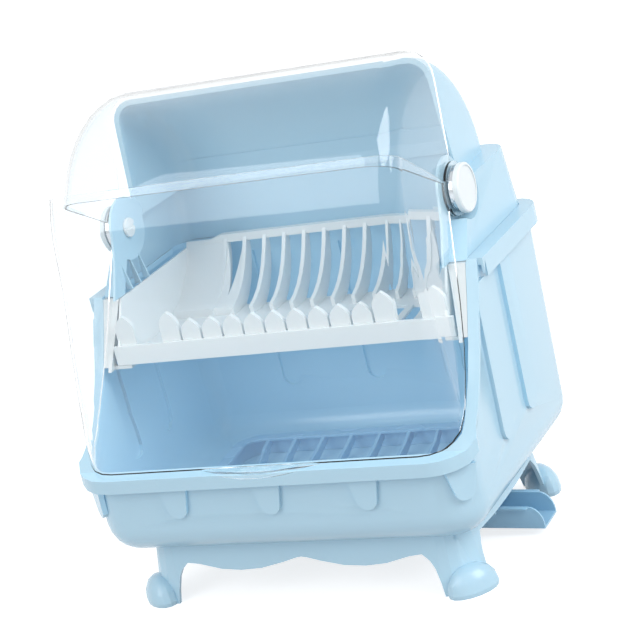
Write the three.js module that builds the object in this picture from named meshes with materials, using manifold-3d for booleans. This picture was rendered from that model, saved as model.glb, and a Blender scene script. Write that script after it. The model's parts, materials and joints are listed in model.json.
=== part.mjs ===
// A covered two-tier dish drainer: a tub on a legged stand, a hood at the back and two clear flip lids.
// Millimetres, +Z up, front towards -Y. The lids' hinge line lies at y = 0 of the model's own axes.

import * as THREE from 'three';
import { mergeVertices } from 'three/addons/utils/BufferGeometryUtils.js';
import Module from 'manifold-3d';

const wasm = await Module();
wasm.setup();

// Overall sizes
const tubWidth = 440;
const tubDepth = 318.5;
const tubHeight = 241.5;
const frontHeight = 91.5;
const standHeight = 63.5;
const hingeToBack = 138;
const hingeRise = 57;
const domeRadius = 131;

// Clearances
const seatGap = 0.3;
const runGap = 1.0;
const overrun = 5;

// Tub
const wall = 3;
const rimReach = 8;
const rimWidth = 17;
const rimCorner = 46;
const rimBackCorner = 28;
const leastCorner = 2;
const slopeInset = 5.5;
const slopeBlend = 24;
const frontRimHeight = 14;
const sideRimHeight = 20;
const flangeThickness = 7;
const wallLean = 4;
const bottomRadius = 32;
const openingTopLead = 48;
const openingKneeLead = 66.3;
const openingKneeDrop = 36;
const rimPlate = 3;
const rimTopPlate = 8;
const rimSkirt = 2.5;
const hoodLedge = 3;
const hoodLedgeDrop = 2;

// Flutes moulded in the tub's walls
const fluteWidth = 28;
const frontFluteWidth = 32;
const frontFluteTaper = 10;
const fluteStand = 4;
const fluteEndRise = 59.5;
const frontFluteEndRise = 44;
const fluteSpacing = 103.5;
const sideFluteSpacing = 74.5;
const sideFluteStart = 123.5;

// Drain in the tub's floor
const drainRadius = 12;
const drainBore = 9;
const drainDrop = 22;
const drainOffset = 70;
const drainSetback = 179.5;

// Shelves that carry the plate rack
const shelfThickness = 10;
const shelfReach = 15;
const shelfHeight = 24;
const shelfFrontSetback = 156;
const shelfBackSetback = 236;

// Stand
const standWall = 4;
const standLedge = 12;
const standLedgeThickness = 3;
const standCorner = 30;
const toeLength = 54;
const toeDepth = 34;
const toeHeight = 28;
const toeSink = 4;
const toeInset = 3;
const legWidth = 28;
const legFlare = 10;
const sideLegWidth = 22;
const skirtPeak = 45;
const skirtDip = 33;
const sideSkirtPeak = 48;
const sideSkirtDip = 44.5;
const barWidth = 8;
const barHeight = 6;
const barSpacing = 62;
const barInset = 16;

// Drain spout and its rails
const spoutWidth = 46;
const spoutHeight = 23.5;
const spoutWall = 2.4;
const spoutTail = 28;
const spoutEndInset = 7;
const spoutRise = 30.5;
const spoutTiltDegrees = 3;
const spoutLip = 4;
const spoutLipThickness = 2;
const spoutNose = 16;
const railThickness = 2.4;

// Hood
const hoodWall = 2.6;
const hoodEdge = 5.6;
const hoodEdgeDepth = 6;
const hoodSideInset = 37;
const hoodSideDraft = 4.5;
const hoodEdgeSetback = 25;
const hoodCorner = 25;
const hoodCheekTopDrop = 26;
const hoodCheekTopReach = 9;
const hoodCheekFootReach = 12;
const hoodCheekBackGap = 3;
const hoodStepRise = 33;
const hoodStep = 1.2;
const boxFrontLag = 3;
const boxSideInset = 22;
const boxBackInset = 3;
const boxCorner = 24;
const boxTopRise = 5;
const boxDraft = 5.5;
const lobeRadius = 33;
const recessRadius = 31;

// Lids
const lidWall = 2.5;
const upperLidRise = 4.5;
const frontLidRise = 3;
const lidCorner = 20;
const earRadius = 27;
const splitDegrees = 31;
const lapDegrees = 3;
const upperLidEndDegrees = 103;
const lidEdgeGap = 2.8;
const lidCornerEase = 2.8;
const frontLidFootSideInset = 15;
const frontLidFootCorner = 38;
const frontLidFootInset = 6;
const frontLidBelly = 3;
const tabWidth = 128;
const tabDrop = 4.4;
const tabReach = 9;

// Hinges
const bushRadius = 6;
const bushBore = 3.4;
const pinClearance = 0.4;
const screwRadius = 3;
const screwHeadRadius = 10;
const screwHeadThickness = 3;
const screwSlotWidth = 3;
const screwSlotDepth = 1.6;
const screwBite = 3;
const ringRadius = 23;
const ringThickness = 5;
const capRadius = 24.5;
const capThickness = 6;
const capRimWidth = 3;
const capRecess = 1.2;
const gussetHeight = 28;
const gussetThickness = 2;
const gussetReach = 6;
const gussetInset = 30;
const gussetSpacing = 18.5;
const gussetCount = 3;

// Plate rack
const rackSideInset = 33;
const rackWingInset = 5.5;
const rackWall = 2.4;
const rackLipSetback = 103.5;
const rackLipHeight = 20.4;
const rackLipThickness = 4;
const rackDrop = 65.1;
const rackFloorThickness = 3;
const rackWingHeight = 62.5;
const rackFloorDepth = 148;
const rackBackGap = 14.3;
const rackRailDepth = 8;
const rackRailHeight = 8.5;
const rackRailRise = 7;
const rackFlangeReach = 12;
const rackFlangeSetback = 32;
const tinePitch = 23.8;
const tineThickness = 4.5;
const tineMargin = 54;
const tineFootDepth = 30;
const tineFootSetback = 218.5;
const tineFootRise = 8.6;
const panelThickness = 2.4;
const panelNotchDepth = 45.5;
const postWidth = 21.5;
const postThickness = 5;
const postHeight = 38;
const tallPostHeight = 47;
const postCrown = 14;
const endPadInset = 16;
const slotWidth = 15;
const slotLength = 80;
const slotSetback = 118;

// Rack brackets
const bracketTopWidth = 20.5;
const bracketFootWidth = 11;
const bracketTopDrop = 2.6;
const bracketHeight = 63;
const bracketHook = 2.5;
const bracketShelfLength = 11;
const bracketShelfThickness = 3.7;
const bracketShelfDepth = 16;
const bracketWebWidth = 4;

// Bowl rack
const bowlSideInset = 68;
const bowlSetback = 54;
const bowlBackSetback = 60.5;
const bowlHeight = 22;
const bowlFrame = 14;
const bowlWall = 3;
const bowlCorner = 30;
const finPitch = 33;
const finThickness = 4;
const finDepth = 10;
const finMargin = 34;

// Places worked out from the sizes
const tubBack = hingeToBack;
const tubFront = hingeToBack - tubDepth;
const tubCentreY = (tubBack + tubFront) / 2;
const tubHalfWidth = tubWidth / 2;
const rimTop = standHeight + tubHeight;
const frontRimTop = standHeight + frontHeight;
const hingeHeight = rimTop + hingeRise;
const wallLeanAngle = Math.atan(wallLean / tubHeight);
const tubFloorTop = standHeight + wall;
const openingTop = new THREE.Vector2(-openingTopLead, rimTop);
const openingKnee = new THREE.Vector2(-openingKneeLead, rimTop - openingKneeDrop);
const standHalfWidth = tubHalfWidth - rimReach - wallLean - bottomRadius;
const standHalfDepth = tubDepth / 2 - rimReach - wallLean - bottomRadius;
const hoodBottom = rimTop - hoodLedgeDrop;
const hoodHalfWidth = tubHalfWidth - hoodSideInset;
const hoodCheekFront = openingTop.x - hoodCheekFootReach;
const boxHalfWidthTop = tubHalfWidth - boxSideInset;
const boxTop = hingeHeight + boxTopRise;
const boxBack = tubBack - boxBackInset;
const upperLidOuter = domeRadius + upperLidRise + lidWall;
const frontLidOuter = upperLidOuter + frontLidRise + lidWall;
const spoutY = tubFront + drainSetback;
const spoutReach = tubHalfWidth - spoutEndInset;
const spoutInnerEnd = drainOffset - spoutTail;
const barPlaces = [barSpacing, 0].map((step) => standHalfWidth - barInset - step);
const upperEarInner = hoodHalfWidth + runGap;
const upperEarOuter = upperEarInner + lidWall;
const frontEarInner = upperEarOuter + runGap;
const frontLidHalfWidth = frontEarInner + lidWall;
const frontLidFootHalfWidth = tubHalfWidth - frontLidFootSideInset;
const ringInner = frontLidHalfWidth + seatGap;
const capInner = ringInner + ringThickness + seatGap;
const rackHalfWidth = tubHalfWidth - rackSideInset;
const rackWingOuter = rackHalfWidth - rackWingInset;
const rackFloorBottom = rimTop - rackDrop;
const rackFloorTop = rackFloorBottom + rackFloorThickness;
const rackLipFront = tubFront + rackLipSetback;
const rackBack = tubBack - rimReach - wall - rackBackGap;
const rackLipBottom = rackFloorBottom - runGap;
const rackWingTop = rackFloorBottom + rackWingHeight;
const rackRailTop = rimTop + rackRailRise;
const hoodCheekBack = rackBack - rackRailDepth - hoodCheekBackGap;
const tineCount = 1 + Math.floor(2 * (rackHalfWidth - tineMargin) / tinePitch);
const bowlHalfWidth = tubHalfWidth - bowlSideInset;
const finCount = 1 + Math.floor(2 * (bowlHalfWidth - finMargin) / finPitch);
const bowlBottom = tubFloorTop + seatGap;
const bowlDepth = tubDepth - bowlSetback - bowlBackSetback;

// Colours and finishes
const paleBlue = { color: 0xa9cfe6, roughness: 0.32, metalness: 0 };
const deepBlue = { color: 0x8fbfdd, roughness: 0.34, metalness: 0 };
const white = { color: 0xeef1f0, roughness: 0.38, metalness: 0 };
const chrome = { color: 0xc9cdd0, roughness: 0.12, metalness: 1 };
const clear = { color: 0xe8f4f6, roughness: 0.05, metalness: 0, transparent: true, opacity: 0.3 };

// Counts of facets
const cornerSteps = 5;
const revolveSteps = 48;
const discSteps = 24;
const toeSteps = 16;
const curveSteps = 6;

// Turns a closed three.js geometry into a solid, with its faces pointing out.
function toSolid(geometry) {
  const bare = geometry.index ? geometry.toNonIndexed() : geometry.clone();
  bare.deleteAttribute('normal');
  bare.deleteAttribute('uv');
  const merged = mergeVertices(bare);
  const positions = new Float32Array(merged.getAttribute('position').array);
  const triangles = new Uint32Array(merged.index.array);
  const faces = new wasm.Mesh({ numProp: 3, vertProperties: positions, triVerts: triangles });
  const solid = new wasm.Manifold(faces);
  if (solid.volume() >= 0) {
    return solid;
  }
  for (let i = 0; i < triangles.length; i += 3) {
    const second = triangles[i + 1];
    triangles[i + 1] = triangles[i + 2];
    triangles[i + 2] = second;
  }
  return new wasm.Manifold(new wasm.Mesh({ numProp: 3, vertProperties: positions, triVerts: triangles }));
}

function toGeometry(solid) {
  const mesh = solid.getMesh();
  const geometry = new THREE.BufferGeometry();
  geometry.setAttribute('position', new THREE.BufferAttribute(new Float32Array(mesh.vertProperties), 3));
  geometry.setIndex(new THREE.BufferAttribute(new Uint32Array(mesh.triVerts), 1));
  geometry.computeVertexNormals();
  return geometry;
}

function join(...solids) {
  return solids.flat().reduce((sum, solid) => sum.add(solid));
}

function cut(body, ...tools) {
  return tools.flat().reduce((rest, tool) => rest.subtract(tool), body);
}

function extrude(points, depth, basis, origin) {
  const shape = new THREE.Shape(points.map((p) => new THREE.Vector2(p[0], p[1])));
  const geometry = new THREE.ExtrudeGeometry(shape, { depth, bevelEnabled: false });
  const matrix = new THREE.Matrix4().makeBasis(...basis);
  matrix.setPosition(origin);
  return toSolid(geometry.applyMatrix4(matrix));
}

const unitX = new THREE.Vector3(1, 0, 0);
const unitY = new THREE.Vector3(0, 1, 0);
const unitZ = new THREE.Vector3(0, 0, 1);

// A prism along X over an outline of (y, z) points.
function prismX(points, from, to) {
  return extrude(points, to - from, [unitY, unitZ, unitX], new THREE.Vector3(from, 0, 0));
}

// A prism along Y over an outline of (x, z) points.
function prismY(points, from, to) {
  return extrude(points, to - from, [unitX, unitZ, unitY.clone().negate()], new THREE.Vector3(0, to, 0));
}

// A prism along Z over an outline of (x, y) points.
function prismZ(points, from, to) {
  return extrude(points, to - from, [unitX, unitY, unitZ], new THREE.Vector3(0, 0, from));
}

function block(x0, x1, y0, y1, z0, z1) {
  return prismZ([[x0, y0], [x1, y0], [x1, y1], [x0, y1]], z0, z1);
}

// A solid turned about the hinge line, from a profile of (radius, x) points.
function revolve(profile, steps) {
  const points = profile.map((p) => new THREE.Vector2(p[0], p[1]));
  const geometry = new THREE.LatheGeometry(points, steps);
  geometry.rotateZ(-Math.PI / 2);
  geometry.translate(0, 0, hingeHeight);
  return toSolid(geometry);
}

function discX(radius, from, to) {
  return revolve([[0, from], [radius, from], [radius, to], [0, to]], discSteps);
}

// Points of an arc in a plane, from one angle to another, in radians.
function arc(centreU, centreV, radius, start, end, steps) {
  return Array.from({ length: steps + 1 }, (_, i) => {
    const angle = start + (end - start) * i / steps;
    return [centreU + radius * Math.cos(angle), centreV + radius * Math.sin(angle)];
  });
}

function roundedRectangle(halfX, front, back, radius, backRadius = radius) {
  const quarter = Math.PI / 2;
  const most = Math.min(halfX, (back - front) / 2);
  const r = Math.min(radius, most);
  const b = Math.min(backRadius, most);
  return [
    ...arc(halfX - r, front + r, r, -quarter, 0, cornerSteps),
    ...arc(halfX - b, back - b, b, 0, quarter, cornerSteps),
    ...arc(b - halfX, back - b, b, quarter, 2 * quarter, cornerSteps),
    ...arc(r - halfX, front + r, r, 2 * quarter, 3 * quarter, cornerSteps),
  ];
}

// A solid through level outlines with equal counts of points, closed flat at both ends.
function loft(levels) {
  const count = levels[0].points.length;
  const positions = levels.flatMap((level) => level.points.flatMap((p) => [p[0], p[1], level.z]));
  const index = [];
  for (let k = 0; k + 1 < levels.length; k += 1) {
    for (let i = 0; i < count; i += 1) {
      const a = k * count + i;
      const b = k * count + (i + 1) % count;
      index.push(a, b, b + count, a, b + count, a + count);
    }
  }
  const top = (levels.length - 1) * count;
  for (let i = 1; i + 1 < count; i += 1) {
    index.push(0, i + 1, i);
    index.push(top, top + i, top + i + 1);
  }
  const geometry = new THREE.BufferGeometry();
  geometry.setAttribute('position', new THREE.Float32BufferAttribute(positions, 3));
  geometry.setIndex(index);
  return toSolid(geometry);
}

function curve(points) {
  const [start, control, end] = points.map((p) => new THREE.Vector2(p[0], p[1]));
  return new THREE.QuadraticBezierCurve(start, control, end).getPoints(curveSteps).map((p) => [p.x, p.y]);
}

// The line that the tub's side walls and front rim follow, lowered square to itself by a drop.
function openingLine(drop, frontDrop, ease = 0) {
  const along = openingTop.clone().sub(openingKnee).normalize();
  const back = new THREE.Vector2(along.y, -along.x).multiplyScalar(drop);
  const knee = openingKnee.clone().add(back);
  const top = openingTop.clone().add(back);
  const level = frontRimTop - frontDrop;
  const control = [knee.x - along.x * (knee.y - level) / along.y - ease, level + ease];
  return [...curve([[tubFront, level], control, [knee.x, knee.y]]), [top.x, top.y]];
}

function openingY(z) {
  const along = openingTop.clone().sub(openingKnee);
  return openingTop.x - along.x * (openingTop.y - z) / along.y;
}

// Level outline of the tub at a height, set in by a wall.
function tubOutline(z, inset) {
  const lean = wallLean * (rimTop - z) / tubHeight;
  const reach = rimReach + lean + inset;
  const shrunk = (radius) => Math.max(radius - rimReach - inset, leastCorner);
  const [corner, backCorner] = [rimCorner, rimBackCorner].map(shrunk);
  return roundedRectangle(tubHalfWidth - reach, tubFront + reach, tubBack - reach, corner, backCorner);
}

function tubShape(inset, floor, top) {
  const radius = bottomRadius - inset;
  const angles = Array.from({ length: curveSteps }, (_, i) => (i / curveSteps) * (Math.PI / 2));
  const rounded = angles.map((angle) => {
    const z = floor + radius * (1 - Math.cos(angle));
    return { z, points: tubOutline(z, inset + radius * (1 - Math.sin(angle))) };
  });
  const straight = [floor + radius, top].map((z) => ({ z, points: tubOutline(z, inset) }));
  return loft([...rounded, ...straight]);
}

// A flute: a flat-faced ridge that narrows to a round foot, drawn in a wall's own plane from the rim down.
function flute(width, taper, length, from, to) {
  const half = width / 2;
  const foot = half - taper / 2;
  const points = [[half, 0], [-half, 0], ...arc(0, foot - length, foot, -Math.PI, 0, curveSteps)];
  const shape = new THREE.Shape(points.map((p) => new THREE.Vector2(p[0], p[1])));
  const geometry = new THREE.ExtrudeGeometry(shape, { depth: to - from, bevelEnabled: false });
  return geometry.translate(0, 0, from);
}

// Stands a flute on the leaning wall that faces a plan angle.
function placeFlute(geometry, place) {
  const outward = new THREE.Vector3(Math.cos(place.angle), Math.sin(place.angle), 0);
  const along = new THREE.Vector3(-Math.sin(place.angle), Math.cos(place.angle), 0);
  const tilt = new THREE.Matrix4().makeRotationAxis(along, wallLeanAngle);
  const matrix = new THREE.Matrix4().makeBasis(along, unitZ, outward).premultiply(tilt);
  matrix.setPosition(place.x, place.y, place.z);
  return toSolid(geometry.clone().applyMatrix4(matrix));
}

// Where the flutes start: tall ones under the side and back rim, low ones under the front rim.
function flutePlaces() {
  const quarter = Math.PI / 2;
  const tallZ = rimTop - sideRimHeight;
  const tallReach = rimReach + wallLean * sideRimHeight / tubHeight;
  const lowZ = frontRimTop - frontRimHeight;
  const lowReach = rimReach + wallLean * (rimTop - lowZ) / tubHeight;
  const cornerInset = (rimCorner - rimReach) * (1 - Math.SQRT1_2);
  const columns = [-1, 0, 1];
  const sides = [-1, 1];
  const backY = tubBack - tallReach;
  const back = columns.map((i) => ({ angle: quarter, x: i * fluteSpacing, y: backY, z: tallZ }));
  const side = sides.flatMap((sign) => [0, 1].map((i) => ({
    angle: sign > 0 ? 0 : Math.PI,
    x: sign * (tubHalfWidth - tallReach),
    y: tubFront + sideFluteStart + i * sideFluteSpacing,
    z: tallZ,
  })));
  const frontY = tubFront + lowReach;
  const front = columns.map((i) => ({ angle: -quarter, x: i * fluteSpacing, y: frontY, z: lowZ }));
  const corner = sides.map((sign) => ({
    angle: -quarter + sign * quarter / 2,
    x: sign * (tubHalfWidth - lowReach - cornerInset),
    y: tubFront + lowReach + cornerInset,
    z: lowZ,
  }));
  return { tall: [...back, ...side], low: [...front, ...corner] };
}

function flutes(inset, from, to) {
  const places = flutePlaces();
  const tallLength = tubHeight - sideRimHeight - fluteEndRise;
  const lowLength = frontHeight - frontRimHeight - frontFluteEndRise;
  const tall = flute(fluteWidth - 2 * inset, 0, tallLength - inset, from, to);
  const low = flute(frontFluteWidth - 2 * inset, frontFluteTaper, lowLength - inset, from, to);
  return [
    ...places.tall.map((place) => placeFlute(tall, place)),
    ...places.low.map((place) => placeFlute(low, place)),
  ];
}

function circle(x, y, radius) {
  return arc(x, y, radius, 0, 2 * Math.PI, discSteps).slice(0, -1);
}

// Everything below the tub's opening line and its level back rim, each lowered by a drop.
function belowRim(drop, frontDrop, topDrop) {
  const line = openingLine(drop, frontDrop);
  const top = line[line.length - 1];
  const outline = [
    [tubFront - overrun, frontRimTop - frontDrop],
    ...line,
    [top[0], rimTop - topDrop],
    [tubBack + overrun, rimTop - topDrop],
    [tubBack + overrun, 0],
    [tubFront - overrun, 0],
  ];
  return prismX(outline, -tubHalfWidth - overrun, tubHalfWidth + overrun);
}

function rimOutline(inset, backInset = inset) {
  const backCorner = Math.max(rimBackCorner - backInset, leastCorner);
  const front = tubFront + inset;
  return roundedRectangle(tubHalfWidth - inset, front, tubBack - backInset, rimCorner - inset, backCorner);
}

// The hood's foot, as the tub's rim is cut back to take it.
function boxOutline(z, inset) {
  const half = boxHalfWidthTop + boxDraft * (boxTop - z) / (boxTop - hoodBottom);
  return roundedRectangle(half - inset, tubFront - overrun, boxBack - inset, boxCorner - inset);
}

function tubRim() {
  const innerBack = rimReach + wall;
  const ring = cut(
    prismZ(rimOutline(0), 0, rimTop),
    prismZ(rimOutline(rimWidth, innerBack), -overrun, rimTop + overrun),
  );
  const slope = prismZ([
    [tubHalfWidth, tubFront + rimCorner - slopeBlend],
    [tubHalfWidth - slopeInset, tubFront + rimCorner],
    [tubHalfWidth - slopeInset, openingTop.x],
    [tubHalfWidth + overrun, openingTop.x],
    [tubHalfWidth + overrun, tubFront + rimCorner - slopeBlend],
  ], 0, rimTop + overrun);
  const band = cut(
    ring.intersect(belowRim(0, 0, 0)),
    belowRim(flangeThickness, frontRimHeight, sideRimHeight),
    slope,
    mirrorX(slope),
  );
  const hollow = cut(
    prismZ(rimOutline(rimSkirt), 0, rimTop),
    prismZ(rimOutline(rimReach), -overrun, rimTop + overrun),
  );
  const insideOutline = rimOutline(rimReach + wall + rimPlate / 2);
  const inside = prismZ(insideOutline, rimTop - sideRimHeight - overrun, rimTop - rimTopPlate);
  const backInside = inside.intersect(block(
    -tubHalfWidth, tubHalfWidth, openingTop.x + flangeThickness + overrun, tubBack, 0, rimTop,
  ));
  return cut(band, hollow.intersect(belowRim(rimPlate, rimPlate, rimTopPlate)), backInside);
}

function hoodLedges() {
  const from = tubHalfWidth - rimWidth - hoodLedge;
  const to = tubHalfWidth - rimReach - wall / 2;
  const front = openingTop.x + flangeThickness + overrun;
  const ledge = block(from, to, front, boxBack - rimBackCorner, rimTop - rimTopPlate, hoodBottom - seatGap);
  return [ledge, mirrorX(ledge)];
}

function rackShelves() {
  const top = rackFloorBottom - seatGap;
  const foot = top - shelfHeight;
  const outer = tubHalfWidth - rimReach - wall / 2 - wallLean * (rimTop - foot) / tubHeight;
  const inner = outer - shelfReach;
  return [shelfFrontSetback, shelfBackSetback].flatMap((setback) => {
    const y = tubFront + setback;
    const gusset = [[inner, top], [outer, top], [outer, foot], [inner, top - shelfHeight / 4]];
    const shelf = prismY(gusset, y - shelfThickness / 2, y + shelfThickness / 2);
    return [shelf, mirrorX(shelf)];
  });
}

function lowerTub() {
  const shell = cut(tubShape(0, standHeight, rimTop), tubShape(wall, tubFloorTop, rimTop + overrun));
  const fluted = cut(
    join(shell, ...flutes(0, -wall / 2, fluteStand)),
    ...flutes(wall, -wall - overrun, fluteStand - wall),
  );
  const drainFoot = standHeight - drainDrop;
  const drain = prismZ(circle(drainOffset, spoutY, drainRadius), drainFoot, tubFloorTop - wall / 2);
  const bore = prismZ(circle(drainOffset, spoutY, drainBore), drainFoot - overrun, tubFloorTop + overrun);
  const opened = fluted.intersect(belowRim(0, 0, 0));
  const seatTop = prismZ(boxOutline(hoodBottom, -seatGap), hoodBottom - seatGap, rimTop + overrun);
  return cut(join(opened, tubRim(), ...hoodLedges(), ...rackShelves(), drain), bore, seatTop);
}

// Half of the stand's front wave, from its middle out to a leg: shares of the half span and of the rise.
const frontWaveShares = [
  [0, 1], [0.04, 0.93], [0.14, 0.6], [0.31, 0.16], [0.47, 0.05], [0.62, 0.2], [0.79, 0.7], [0.88, 0.82],
];
const sideWaveShares = [[0, 0], [0.3, 0.1], [0.5, 0.3], [0.7, 0.7], [0.86, 1]];
// Where a leg's inner edge runs down to the floor: shares of the half span and of the skirt's peak.
const legEdgeShares = [[0.93, 0.8], [0.96, 0.62], [0.985, 0.3], [1, 0]];

function waveOutline(centre, halfSpan, peak, dip, waveShares) {
  const half = [
    ...waveShares.map((s) => [s[0] * halfSpan, dip + s[1] * (peak - dip)]),
    ...legEdgeShares.map((s) => [s[0] * halfSpan, s[1] * peak]),
    [halfSpan, -overrun],
  ];
  const other = half.slice(half[0][0] === 0 ? 1 : 0).reverse().map((p) => [-p[0], p[1]]);
  return [...other, ...half].map((p) => [centre + p[0], p[1]]);
}

function standOutline(inset) {
  const front = tubCentreY - standHalfDepth + inset;
  const back = tubCentreY + standHalfDepth - inset;
  return roundedRectangle(standHalfWidth - inset, front, back, standCorner - inset);
}

// The stand's upright walls, flared towards the floor.
function standShape(inset, from, to) {
  return loft([from, to].map((z) => ({ z, points: standOutline(inset - legFlare * (1 - z / standHeight)) })));
}

// A toe: half an ellipsoid, set across the corner that it carries.
function toe(signX, signY) {
  const geometry = new THREE.SphereGeometry(1, toeSteps, toeSteps / 2);
  geometry.rotateX(Math.PI / 2);
  geometry.scale(toeLength / 2, toeDepth / 2, toeHeight - toeSink);
  geometry.rotateZ(-signX * signY * Math.PI / 4);
  geometry.translate(
    signX * (standHalfWidth - toeInset),
    tubCentreY + signY * (standHalfDepth - toeInset),
    toeSink,
  );
  const outer = 2 * standHalfWidth;
  return toSolid(geometry).intersect(block(-outer, outer, -outer, outer, 0, standHeight));
}

// The spout's slanted frame: x along the channel, z square to it, starting over the channel's blind end.
function spoutFrame() {
  const tilt = THREE.MathUtils.degToRad(spoutTiltDegrees);
  const matrix = new THREE.Matrix4().makeRotationY(tilt);
  const rise = spoutRise + (spoutReach - spoutInnerEnd) * Math.sin(tilt);
  matrix.setPosition(spoutReach - (spoutReach - spoutInnerEnd) * Math.cos(tilt), spoutY, rise);
  return matrix;
}

// The rails that carry the spout's lips, hung from the two cross bars.
function spoutRails() {
  const length = barSpacing + barWidth + overrun;
  const start = barPlaces[0] - spoutInnerEnd - barWidth;
  const side = spoutWidth / 2 + runGap;
  const floor = -spoutLipThickness - runGap / 2;
  const inner = side - spoutLip;
  const rail = join(
    block(start, start + length, side, side + railThickness, floor - railThickness, runGap),
    block(start, start + length, inner + runGap / 2, side + railThickness, floor - railThickness, floor),
  );
  const matrix = spoutFrame();
  return [rail, mirrorY(rail)].map((solid) => toSolid(toGeometry(solid).applyMatrix4(matrix)));
}

function spoutHangers(underside) {
  const side = spoutWidth / 2 + runGap;
  return barPlaces.flatMap((x) => {
    const railZ = spoutRise + (spoutReach - x) * Math.tan(THREE.MathUtils.degToRad(spoutTiltDegrees));
    const hanger = block(
      x - barWidth / 2, x + barWidth / 2, side, side + railThickness,
      railZ - railThickness, underside + railThickness,
    );
    return [hanger, mirrorY(hanger)].map((solid) => moved(solid, 0, spoutY, 0));
  });
}

function baseStand() {
  const top = standHeight - seatGap;
  const underLedge = top - standLedgeThickness;
  const front = tubCentreY - standHalfDepth;
  const back = tubCentreY + standHalfDepth;
  const shell = cut(
    standShape(0, 0, top),
    standShape(standWall, -overrun, underLedge),
    prismZ(standOutline(standWall + standLedge), -overrun, top + overrun),
  );
  const waves = [
    prismY(
      waveOutline(0, standHalfWidth - legWidth, skirtPeak, skirtDip, frontWaveShares),
      front - legFlare - overrun,
      back + legFlare + overrun,
    ),
    prismX(
      waveOutline(tubCentreY, standHalfDepth - sideLegWidth, sideSkirtPeak, sideSkirtDip, sideWaveShares),
      -standHalfWidth - legFlare - overrun,
      standHalfWidth + legFlare + overrun,
    ),
  ];
  const underside = underLedge - barHeight;
  const bars = barPlaces.map((x) => block(
    x - barWidth / 2, x + barWidth / 2, front + standWall / 2, back - standWall / 2,
    underside, underLedge + seatGap,
  ));
  const toes = [-1, 1].flatMap((signX) => [-1, 1].map((signY) => toe(signX, signY)));
  return join(cut(shell, ...waves), ...toes, ...bars, ...spoutRails(), ...spoutHangers(underside));
}

// The spout, drawn in its own slanted frame: an open channel with a closed end and a rounded, open mouth.
function drainSpout() {
  const length = spoutReach - spoutInnerEnd;
  const half = spoutWidth / 2 - spoutLip;
  const nose = arc(length - spoutNose, spoutWall - spoutHeight, 1, Math.PI / 2, 0, curveSteps).map((p) => [
    length - spoutNose + (p[0] - length + spoutNose) * spoutNose,
    spoutWall - spoutHeight + (p[1] - spoutWall + spoutHeight) * (spoutHeight - spoutWall),
  ]);
  const underside = [[length, -spoutHeight], [spoutWall, -spoutHeight], [0, spoutWall - spoutHeight]];
  const side = [[0, 0], ...nose, ...underside];
  const body = prismY(side, -half, half);
  const lips = block(0, length - spoutNose, -spoutWidth / 2, spoutWidth / 2, -spoutLipThickness, 0);
  const trough = block(
    spoutWall, length + overrun, spoutWall - half, half - spoutWall, spoutWall - spoutHeight, overrun,
  );
  return cut(join(body, lips), trough);
}

// A bracket: clips over the flange's inner edge, with a small ledge under the end of the rack's lip.
function rackBracket() {
  const outer = tubHalfWidth - rimWidth - seatGap;
  const depth = flangeThickness + seatGap + bracketHook;
  const top = rimTop - bracketTopDrop;
  const foot = top - bracketHeight;
  const slab = slanted(0, depth, outer - bracketTopWidth, outer);
  const face = prismY(
    [[outer - bracketTopWidth, top], [outer, top], [outer, foot], [outer - bracketFootWidth, foot]],
    tubFront,
    tubBack,
  );
  const hook = slanted(flangeThickness + seatGap, depth, outer - seatGap, outer + bracketHook + seatGap);
  const hookTop = rimTop - sideRimHeight - seatGap;
  const hookZone = block(0, tubHalfWidth, tubFront, tubBack, foot, hookTop);
  const shelfTop = rackLipBottom - seatGap;
  const web = slanted(0, depth, outer - bracketFootWidth, outer - bracketFootWidth + bracketWebWidth);
  const webZone = block(0, tubHalfWidth, tubFront, tubBack, shelfTop - bracketShelfThickness, foot + overrun);
  const shelf = block(
    outer - bracketTopWidth - bracketShelfLength,
    outer - bracketFootWidth + bracketWebWidth,
    openingY(shelfTop) + depth / 2,
    rackLipFront + bracketShelfDepth / 2,
    shelfTop - bracketShelfThickness,
    shelfTop,
  );
  return join(slab.intersect(face), hook.intersect(hookZone), web.intersect(webZone), shelf);
}

// A slab that follows the opening line, between two drops behind it.
function slanted(from, to, x0, x1) {
  const upper = openingLine(from, from);
  const lower = openingLine(to, to).reverse();
  return prismX([...upper, ...lower], x0, x1);
}

// Where the curve of a tine's front and back edge is pulled to: shares of its way back and of its height.
const tineFrontBowShares = [0.59, 0.15];
const tineBackBowShares = [0.8, 0.3];

function tineEdge(top, foot, bowShares) {
  const bow = [foot[0] + (top[0] - foot[0]) * bowShares[0], foot[1] + (top[1] - foot[1]) * bowShares[1]];
  return curve([top, bow, foot]);
}

// A tine's side outline, from the rail down to the rack's floor.
function tineOutline() {
  const railZ = rackRailTop - rackRailHeight / 2;
  const footY = tubFront + tineFootSetback;
  const footZ = rackFloorTop - seatGap;
  const foot = [footY, rackFloorTop + tineFootRise];
  const front = tineEdge([rackBack - rackRailDepth, railZ], foot, tineFrontBowShares);
  const back = tineEdge([rackBack, railZ], [footY + tineFootDepth, footZ], tineBackBowShares);
  return [...front, [footY, footZ], ...back.reverse()];
}

// The back panel's side outline: it follows the tines' front edge.
function panelOutline() {
  const railZ = rackRailTop - rackRailHeight / 2;
  const footY = tubFront + tineFootSetback;
  const foot = rackFloorTop - seatGap;
  const edge = (setback) => tineEdge(
    [rackBack - rackRailDepth + setback, railZ],
    [footY + setback, rackFloorTop + tineFootRise],
    tineFrontBowShares,
  );
  const front = edge(panelThickness);
  const back = edge(2 * panelThickness).reverse();
  return [...front, [footY + panelThickness, foot], [footY + 2 * panelThickness, foot], ...back];
}

function tineX(i) {
  return (i - (tineCount - 1) / 2) * tinePitch;
}

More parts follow.
